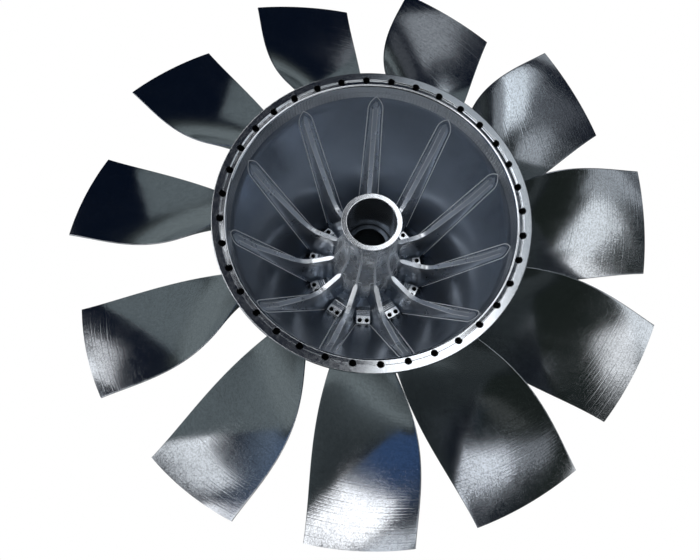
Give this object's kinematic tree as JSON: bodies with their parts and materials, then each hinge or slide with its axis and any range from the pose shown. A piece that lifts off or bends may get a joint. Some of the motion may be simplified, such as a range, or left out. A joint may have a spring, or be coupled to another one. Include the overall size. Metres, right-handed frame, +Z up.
{
  "type": "impeller",
  "caption": "Axial impeller: hollow conical hub with twisted blades outside, ribs and a shaft tube inside, and a flat rear flange with a ring of bolt holes.",
  "frame": {"origin": "centre of the hub's flat nose face, on the axis, at the level of the floor it stands on", "axes": "+Z up along the axis of rotation, from the nose to the flange face; +Y through one of the flange's bolt holes"},
  "size_m": [0.5597, 0.5598, 0.176],
  "materials": {
    "flange": "turned, bright",
    "hub": "milled, smooth",
    "tube": "milled outside, bored inside",
    "rib": "milled, bright",
    "balance_pad": "milled flat",
    "blade": "fine milled, bright"
  },
  "bodies": {
    "root": {"flange_ring": "flange", "hub_shell": "hub", "hub_base": "hub", "shaft_tube": "tube", "rib_01": "rib", "rib_02": "rib", "rib_03": "rib", "rib_04": "rib", "rib_05": "rib", "rib_06": "rib", "rib_07": "rib", "rib_08": "rib", "rib_09": "rib", "rib_10": "rib", "rib_11": "rib", "balance_pad_01": "balance_pad", "balance_pad_02": "balance_pad", "balance_pad_03": "balance_pad", "balance_pad_04": "balance_pad", "balance_pad_05": "balance_pad", "balance_pad_06": "balance_pad", "balance_pad_07": "balance_pad", "balance_pad_08": "balance_pad", "balance_pad_09": "balance_pad", "balance_pad_10": "balance_pad", "balance_pad_11": "balance_pad", "blade_01": "blade", "blade_02": "blade", "blade_03": "blade", "blade_04": "blade", "blade_05": "blade", "blade_06": "blade", "blade_07": "blade", "blade_08": "blade", "blade_09": "blade", "blade_10": "blade", "blade_11": "blade"}
  },
  "joints": []
}
